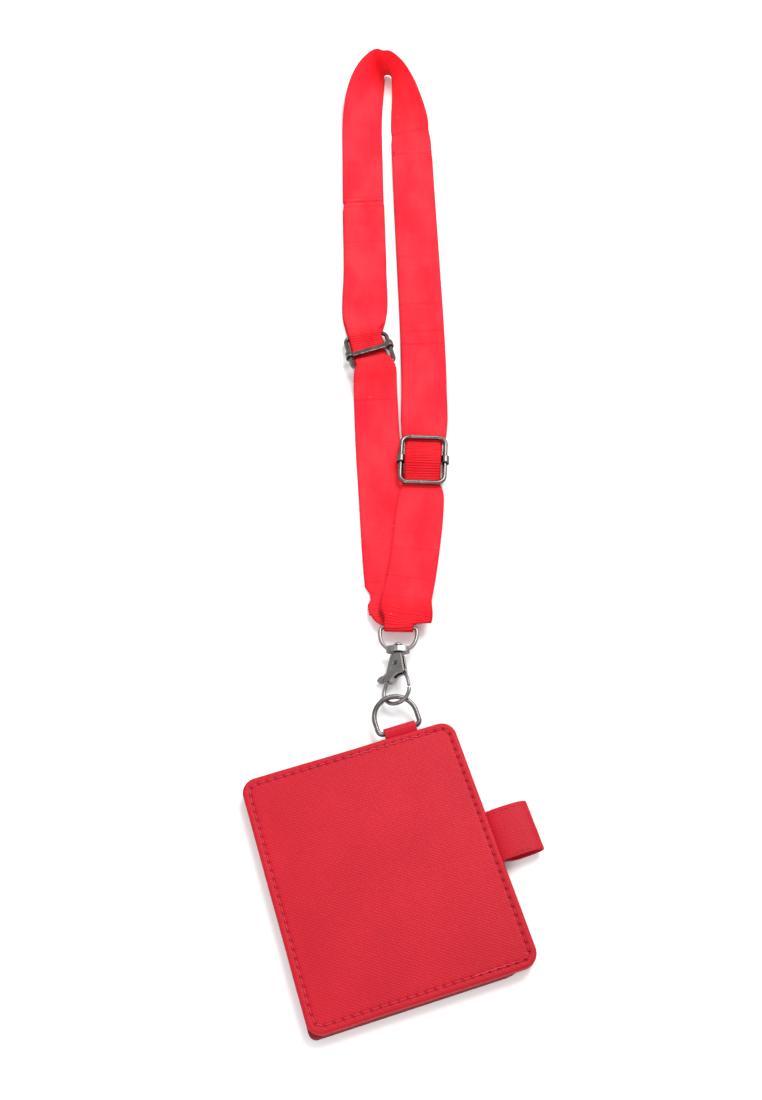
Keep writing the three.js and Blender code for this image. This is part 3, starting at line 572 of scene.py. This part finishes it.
def band(path, across, width, thickness, step, wave):
    """A strip of leatherette: path is its middle line, across the unit direction of its width."""
    corner = 0.3 * MM
    line = along_curve(path, step)
    t = unit(np.gradient(line, axis=0))
    w = np.array(across, float)
    half, thick = width / 2, thickness / 2
    spots = []
    for sx, sy, start in ((1, 1, 0), (-1, 1, 90), (-1, -1, 180), (1, -1, 270)):
        for a in np.radians(np.linspace(start, start + 90, 5)):
            spots.append((sx * (half - corner) + corner * math.cos(a),
                          sy * (thick - corner) + corner * math.sin(a)))
    fine = []
    for k, (x, y) in enumerate(spots):
        fine.append((x, y))
        nx = spots[(k + 1) % len(spots)][0]
        if abs(nx - x) > 2 * MM:
            fine += [(x + (nx - x) * f, y) for f in np.linspace(0, 1, 26)[1:-1]]
    verts = []
    for c, d in zip(line, t):
        n = np.cross(d, w)
        for x, y in fine:
            lift = wave * mnoise.noise(Vector((c + x * w) * 130.0))
            verts.append(c + x * w + (y + lift) * n)
    return verts, rounded_rings(len(line), len(fine))


def outward(piece):
    """Turns the faces of a closed piece outward."""
    b = bmesh.new()
    b.from_mesh(piece.data)
    bmesh.ops.recalc_face_normals(b, faces=b.faces)
    b.to_mesh(piece.data)
    b.free()
    return piece


def from_node(name, node, material, body, bevel=0.0, voxel=0.0, smoothing=0):
    """A finer piece with the shape of a CAD node, its edges rounded by a bevel or by a smoothed remesh."""
    piece = bpy.data.objects.new(name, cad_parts[node].data.copy())
    bpy.context.scene.collection.objects.link(piece)
    b = bmesh.new()
    b.from_mesh(piece.data)
    bmesh.ops.remove_doubles(b, verts=b.verts, dist=1e-6)
    if bevel:
        bmesh.ops.dissolve_limit(b, angle_limit=math.radians(1), verts=b.verts, edges=b.edges)
    b.to_mesh(piece.data)
    b.free()
    if bevel:
        m = piece.modifiers.new("edges", "BEVEL")
        m.width = bevel
        m.segments = 3
        m.limit_method = "ANGLE"
        m.angle_limit = math.radians(40)
    if voxel:
        m = piece.modifiers.new("cast", "REMESH")
        m.mode = "VOXEL"
        m.voxel_size = voxel
        m = piece.modifiers.new("polish", "SMOOTH")
        m.factor = 0.6
        m.iterations = smoothing
    bpy.context.view_layer.update()
    done = bpy.data.meshes.new_from_object(piece.evaluated_get(bpy.context.evaluated_depsgraph_get()))
    piece.modifiers.clear()
    piece.data = done
    done.name = name
    done.polygons.foreach_set("use_smooth", [True] * len(done.polygons))
    if bevel:
        done.set_sharp_from_angle(angle=math.radians(32))
    done.materials.clear()
    done.materials.append(material)
    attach(piece, body)
    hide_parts(node)
    return piece


# ---- holder ----
HALF_X, HALF_Y = 0.052, 0.060
STITCH_IN = 3.3 * MM              # from the panel's edge to its stitch line
STITCH_PITCH = 4.1 * MM
SEWN_TOP = 7.76 * MM              # height of the leatherette in its stitch line
ROUND = (7 * MM,) * 4             # the panel's corners, from +X +Y anticlockwise
RING_AT = (27.5, 63.5, 5.0)       # middle of the ring's pin in mm, with the tab folded round it
SIDE_COUNT = {}                   # points on each straight side, set by the outermost loop


def panel_loop(inset, corners):
    """Points round a rounded rectangle, the same count for every inset smaller than its corners."""
    spacing = 0.55 * MM
    signs = ((1, 1), (-1, 1), (-1, -1), (1, -1))
    points = []
    for k, (sx, sy) in enumerate(signs):
        r = corners[k]
        cx, cy = sx * (HALF_X - r), sy * (HALF_Y - r)
        steps = max(6, round(r * math.pi / 2 / spacing))
        for a in np.radians(np.linspace(90 * k, 90 * k + 90, steps + 1)):
            points.append((cx + (r - inset) * math.cos(a), cy + (r - inset) * math.sin(a)))
        nsx, nsy = signs[(k + 1) % 4]
        nr = corners[(k + 1) % 4]
        end = (nsx * (HALF_X - nr), nsy * (HALF_Y - nr))
        a = math.radians(90 * k + 90)
        start = points[-1]
        stop = (end[0] + (nr - inset) * math.cos(a), end[1] + (nr - inset) * math.sin(a))
        long = round(math.dist(start, stop) / spacing) if inset == 0 else None
        count = SIDE_COUNT.setdefault((k, corners), long)
        for f in np.linspace(0, 1, count + 1)[1:-1]:
            points.append((start[0] + (stop[0] - start[0]) * f, start[1] + (stop[1] - start[1]) * f))
    return np.array(points)


def loop_length(points):
    """The distance of each point along a closed loop, and the loop's whole length."""
    steps = np.linalg.norm(np.roll(points, -1, 0) - points, axis=1)
    return np.concatenate([[0], np.cumsum(steps)[:-1]]), steps.sum()


def back_panel():
    """The back cover: a rolled edge, a rim, a groove that each stitch pulls down, and a soft middle."""
    panel_loop(0, ROUND)
    seam = panel_loop(STITCH_IN, ROUND)
    at, total = loop_length(seam)
    pitch = total / round(total / STITCH_PITCH)
    hole = np.cos(math.pi * at / pitch) ** 6
    # Painted shade in the stitch holes, stronger towards the holder's +X and +Y sides.
    right, top = smooth(0.034, 0.047, seam[:, 0]), smooth(0.045, 0.055, seam[:, 1])
    shade = 0.35 + 0.6 * np.maximum(right, 0.6 * top)
    pits = []
    # inset and height in mm, from the edge inward; the groove is at the stitch line
    levels = [(0.25, 3.5), (0.05, 4.4), (0.0, 5.4), (0.0, 6.4), (0.05, 7.1), (0.2, 7.5), (0.45, 7.78),
              (0.8, 7.95), (1.2, 8.03), (1.7, 8.05), (2.2, 8.01), (2.6, 7.95), (2.95, 7.84),
              (3.3, 7.76), (3.65, 7.82), (4.0, 7.9), (4.5, 7.95), (5.2, 7.97), (6.0, 7.98), (6.8, 7.98)]
    rings = []
    for inset, height in levels:
        flat = panel_loop(inset * MM, ROUND)
        pull = math.exp(-(((inset - 3.3) / 0.5) ** 2)) * 0.5
        dent = math.exp(-(((inset - 3.3) / 1.5) ** 2)) * 0.16
        z = height * MM - (pull + dent) * MM * hole
        rings.append(np.column_stack([flat, z]))
        pits.append(math.exp(-(((inset - 3.3) / 0.5) ** 2)) * hole**2 * shade)
    inner = rings[-1]
    for shrink in (0.97, 0.93, 0.88, 0.82, 0.74, 0.65, 0.55, 0.44, 0.32, 0.2, 0.09):
        ring = inner * [shrink, shrink, 1]
        for q in ring:
            uneven = mnoise.noise(Vector((q[0] * 24, q[1] * 24, 3.7)))
            swell = 0.22 * smooth(0, 0.25, 1 - shrink) + 0.1 * uneven
            q[2] = (7.98 + float(swell)) * MM
        rings.append(ring)
    n = len(seam)
    verts = np.concatenate(rings + [np.array([[0, 0, 8.2 * MM]])])
    edge = np.array([mnoise.noise(Vector((x * 40, y * 40, 9.1))) for x, y, _ in verts])
    outer = 1 + 0.0022 * edge[:, None] * (np.arange(len(verts)) < 10 * n)[:, None]
    verts[:, :2] *= np.minimum(outer, 1.0015)
    faces = [tuple(range(n - 1, -1, -1))]
    for i in range(len(rings) - 1):
        a = i * n
        faces += [(a + k, a + (k + 1) % n, a + n + (k + 1) % n, a + n + k) for k in range(n)]
    last = (len(rings) - 1) * n
    faces += [(last + k, last + (k + 1) % n, len(verts) - 1) for k in range(n)]
    piece = new_piece("back_cover", verts, faces, LEATHER, "holder", ["back_panel"])
    dark = np.zeros(len(verts))
    dark[: len(levels) * n] = np.concatenate(pits)
    piece.data.attributes.new("hole_shade", "FLOAT", "POINT").data.foreach_set("value", dark)
    return seam, at, total, pitch


def stitch(into, start, stop, low, rise, radius=0.27 * MM):
    """One stitch: a short arched thread that dives into its two holes."""
    a, b, up = Vector(start), Vector(stop), Vector((0, 0, 1))
    line = []
    for f in np.linspace(0, 1, 9):
        height = rise * (1 - (2 * f - 1) ** 4) - low * (abs(2 * f - 1) ** 8)
        line.append(a.lerp(b, float(f)) + up * float(height))
    shape = [radius * (0.75 + 0.25 * math.sin(math.pi * f)) for f in np.linspace(0, 1, 9)]
    tube(line, shape, 8, into=into)


def stitches_on_back(seam, at, total, pitch):
    """The stitches round the back, with a second thread where the seam was sewn twice."""
    closed = np.vstack([seam, seam[:1]])
    at = np.append(at, total)
    into = ([], [])

    def spot(s, inset=0.0):
        s = s % total
        x, y = np.interp(s, at, closed[:, 0]), np.interp(s, at, closed[:, 1])
        return Vector((x * (1 - inset / HALF_X), y * (1 - inset / HALF_Y), 0))

    for k in range(round(total / pitch)):
        a, b = spot((k + 0.06) * pitch), spot((k + 0.94) * pitch)
        a.z = b.z = SEWN_TOP
        stitch(into, a, b, 0.5 * MM, 0.27 * MM, 0.24 * MM)
        middle = spot((k + 0.5) * pitch)
        twice_top = middle.y > 0.05 and 0.002 < middle.x < 0.044
        twice_low = middle.y < -0.05 and 0.022 < middle.x < 0.046
        if twice_top or twice_low:
            a, b = spot((k + 0.52) * pitch, 0.45 * MM), spot((k + 1.38) * pitch, 0.3 * MM)
            a.z = b.z = 7.8 * MM
            stitch(into, a, b, 0.4 * MM, 0.2 * MM)
    piece = new_piece("edge_stitches", *into, THREAD, "holder", ["edge_thread"])


def ring_tab():
    """The tab, folded round the ring's pin with both ends sewn into the holder."""
    x, y, z = RING_AT
    r = 1.95
    path = [(x, 55.6, 4.53), (x, 58.4, 4.53), (x, 60.2, 4.35), (x, 61.5, 3.72)]
    path += [(x, y + r * math.cos(a), z + r * math.sin(a)) for a in np.radians(np.linspace(-105, 105, 9))]
    path += [(x, 61.5, 6.28), (x, 60.2, 5.65), (x, 58.4, 5.47), (x, 55.6, 5.47)]
    path = [tuple(c * MM for c in q) for q in path]
    verts, faces = band(path, (1, 0, 0), 15.5 * MM, 0.86 * MM, 0.3 * MM, wave=0.06 * MM)
    piece = outward(new_piece("tab_fold", verts, faces, LEATHER, "holder", ["ring_tab"]))


# x and z in mm of the band's middle line, from the holder's edge round and back.
PEN_LOOP = [(47.6, 5.5), (51.5, 5.6), (55, 6.7), (61, 7.25), (67.5, 6.9), (71, 5.3), (71.6, 4),
            (70.8, 2.6), (67, 1.3), (61, 0.75), (57, 1.4), (54.4, 3.1), (52.2, 4.1), (47.6, 4.1)]


def pen_loop():
    """The band for a pen on the holder's +X side, with a stitch line near each of its edges."""
    path = [(x * MM, 0, z * MM) for x, z in PEN_LOOP]
    verts, faces = band(path, (0, 1, 0), 24 * MM, 0.86 * MM, 0.35 * MM, wave=0.12 * MM)
    piece = outward(new_piece("pen_band", verts, faces, LEATHER, "holder", ["pen_loop"]))
    line = along_curve(path[2:6], 0.2 * MM)
    for name, node, y in (("band_stitches_top", "loop_thread_top", 10.4),
                          ("band_stitches_low", "loop_thread_bottom", -10.4)):
        into = ([], [])
        for x in np.arange(54.8, 68.4, 2.9):
            ends = []
            for q in (x + 0.15, x + 2.6):
                z = float(np.interp(q * MM, line[:, 0], line[:, 2])) + 0.36 * MM
                ends.append((q * MM, y * MM, z))
            stitch(into, *ends, 0.3 * MM, 0.22 * MM, 0.22 * MM)
        new_piece(name, *into, THREAD, "holder", [node])


stitches_on_back(*back_panel())
ring_tab()
pen_loop()
# The front cover's leatherette is darkened as painted shade.
front_cover = from_node("front_cover", "front_frame", LEATHER_SHADED, "holder", bevel=0.28 * MM)
pocket_layer = from_node("pocket_layer", "pocket_lining", LINING, "holder", bevel=0.2 * MM)


# ---- hardware ----
def local(u, v, z, turn, tilt=0.0):
    """A place on the strap in mm, with a turn about its normal and a tilt in degrees."""
    return (STRAP @ Matrix.Translation((u * MM, v * MM, z * MM))
            @ Matrix.Rotation(math.radians(turn), 4, "Z")
            @ Matrix.Rotation(math.radians(tilt), 4, "X"))


def slide_frame(side, body, place, cross):
    """A bent wire frame; its two ends meet with a small gap in the middle of its lower cross wire."""
    rail, corner, gap = 11.8 * MM, 4.2 * MM, 0.12 * MM
    right = [(gap / 2, -cross, 0), (5 * MM, -cross, 0)]
    right += arc(rail - corner, corner - cross, corner, -90, 0, 12) + [(rail, 0, 0)]
    right += arc(rail - corner, cross - corner, corner, 0, 90, 12) + [(4 * MM, cross, 0)]
    left = [(-x, y, z) for x, y, z in reversed(right)]
    line = along_curve(right + left, 0.45 * MM)
    verts, faces = tube(placed(line, place), 1.25 * MM, 22)
    piece = new_piece(f"{side}_slider_frame", verts, faces, NICKEL, body, [f"{side}_slide_frame"])


def holder_ring():
    """A closed D of round wire: its straight pin lies in the tab."""
    arm, straight, corner = 10.3 * MM, 6.6 * MM, 2.4 * MM
    half = [(0, 0, 0), (4 * MM, 0, 0)] + arc(arm - corner, corner, corner, -90, 0, 10)
    half += [(arm, 4.6 * MM, 0)] + arc(0, straight, arm, 0, 90, 22)
    line = along_curve(half + [(-x, y, z) for x, y, z in reversed(half[:-1])], 0.4 * MM)[:-1]
    middle = Vector(RING_AT) * MM
    place = Matrix.Translation(middle) @ Matrix.Rotation(math.radians(5), 4, "X")
    verts, faces = tube(placed(line, place), 1.2 * MM, 22, closed=True)
    new_piece("d_ring", verts, faces, NICKEL, "ring", ["holder_ring"])


slide_frame("right", "right_slide", local(20, 156, 5.0, -5), 14.6 * MM)
slide_frame("left", "lanyard", local(-6.4, 232, 5.4, 10, -12), 13.75 * MM)
holder_ring()
# Bars, bow and snap hook: voxel size in mm and how often the remesh is smoothed.
for name, node, material, body, voxel, smoothing in (
        ("right_slider_bar", "right_slide_bar", NICKEL, "lanyard", 0.2, 10),
        ("left_slider_bar", "left_slide_bar", NICKEL, "left_bar", 0.2, 10),
        ("swivel_bow", "swivel_loop", NICKEL_CAST, "swivel", 0.16, 8),
        ("swivel_head", "swivel_rivet", NICKEL_CAST, "clasp", 0.1, 6),
        ("snap_body", "clasp_body", NICKEL_CAST, "clasp", 0.14, 8),
        ("snap_gate", "clasp_lever", NICKEL_CAST, "lever", 0.12, 7),
        ("gate_pin", "lever_pin", NICKEL, "clasp", 0.07, 4)):
    cast = from_node(name, node, material, body, voxel=voxel * MM, smoothing=smoothing)

# ---- the rest ----
for name, material in {
    "window_sheet": CLEAR, "foam_sheet": FOAM, "stiffener_board": BOARD, "lever_spring": STEEL,
}.items():
    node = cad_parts[name]
    for k in range(len(node.data.materials)):
        node.material_slots[k].material = material


# ---- floor and light ----
def add_floor():
    floor = new_plain_mesh("floor", [(-3, -3, 0), (3, -3, 0), (3, 3, 0), (-3, 3, 0)], [(0, 1, 2, 3)])
    s = Shader("pale_floor", 0.9)
    at = s.add("ShaderNodeTexCoord", out=3)
    tone = s.mix(s.noise(at, 3.0, 2.0), rgb(244, 244, 245), rgb(248, 248, 248))
    floor.data.materials.append(s.done(tone))
    floor.location.z = -0.0002


def new_plain_mesh(name, verts, faces):
    mesh = bpy.data.meshes.new(name)
    mesh.from_pydata(verts, [], faces)
    piece = bpy.data.objects.new(name, mesh)
    bpy.context.scene.collection.objects.link(piece)
    return piece


def area_light(name, place, target, size, power):
    data = bpy.data.lights.new(name, "AREA")
    data.shape = "DISK"
    data.size = size
    data.energy = power
    lamp = bpy.data.objects.new(name, data)
    bpy.context.scene.collection.objects.link(lamp)
    lamp.location = place
    lamp.rotation_euler = (Vector(target) - Vector(place)).to_track_quat("-Z", "Y").to_euler()


add_floor()
bpy.context.scene.view_settings.view_transform = "Standard"
world = bpy.data.worlds.new("studio")
world.use_nodes = True
world.node_tree.nodes["Background"].inputs[0].default_value = (1, 1, 1, 1)
world.node_tree.nodes["Background"].inputs[1].default_value = 0.75
bpy.context.scene.world = world
area_light("key", (0.55, 0.55, 0.95), (0.03, 0.1, 0), 0.7, 14)
area_light("fill", (-0.6, -0.5, 0.9), (0.03, 0.1, 0), 0.9, 5)
